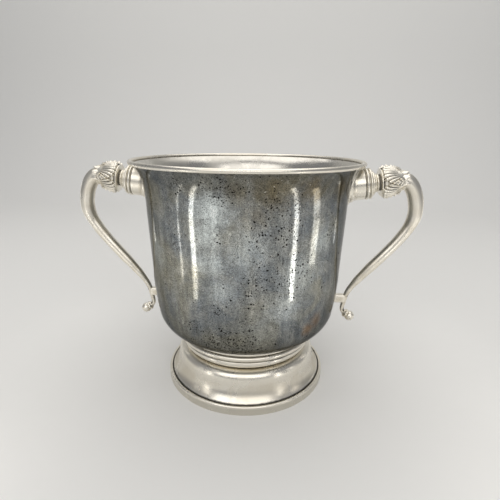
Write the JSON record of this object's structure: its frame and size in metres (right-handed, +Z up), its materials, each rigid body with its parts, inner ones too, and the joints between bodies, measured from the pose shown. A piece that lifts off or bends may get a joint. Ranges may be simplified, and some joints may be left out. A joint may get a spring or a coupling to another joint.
{
  "type": "cup trophy",
  "caption": "Two-handled presentation cup: flared bowl with a rim wire on a domed, moulded foot, scroll handles with leaf caps and ball buds.",
  "frame": {"origin": "centre of the circle on which the foot stands", "axes": "+Z up along the cup's axis, +X towards one handle and -X towards the other, -Y the front"},
  "size_m": [0.277, 0.1798, 0.1842],
  "materials": {
    "tarnished_silver": "silver sheet under a slate and olive tarnish with fine black pitting, still mirror-like beneath",
    "polished_silver": "bright polished silver with a warm cast and grey oxide left in the grooves",
    "cast_silver": "cast and polished silver, dark oxide in the leaf work and between the reeds"
  },
  "bodies": {
    "root": {"bowl": "tarnished_silver", "rim_wire": "polished_silver", "collar_wire": "polished_silver", "collar_ring": "polished_silver", "foot_shell": "polished_silver", "base_band": "polished_silver", "right_wall_plate": "cast_silver", "right_socket_drum": "polished_silver", "right_socket_reeds": "cast_silver", "right_neck": "cast_silver", "right_leaf_cap": "cast_silver", "right_grip": "cast_silver", "right_strut": "cast_silver", "right_petal_collar": "cast_silver", "right_bud": "cast_silver", "left_wall_plate": "cast_silver", "left_socket_drum": "polished_silver", "left_socket_reeds": "cast_silver", "left_neck": "cast_silver", "left_leaf_cap": "cast_silver", "left_grip": "cast_silver", "left_strut": "cast_silver", "left_petal_collar": "cast_silver", "left_bud": "cast_silver"}
  },
  "joints": []
}
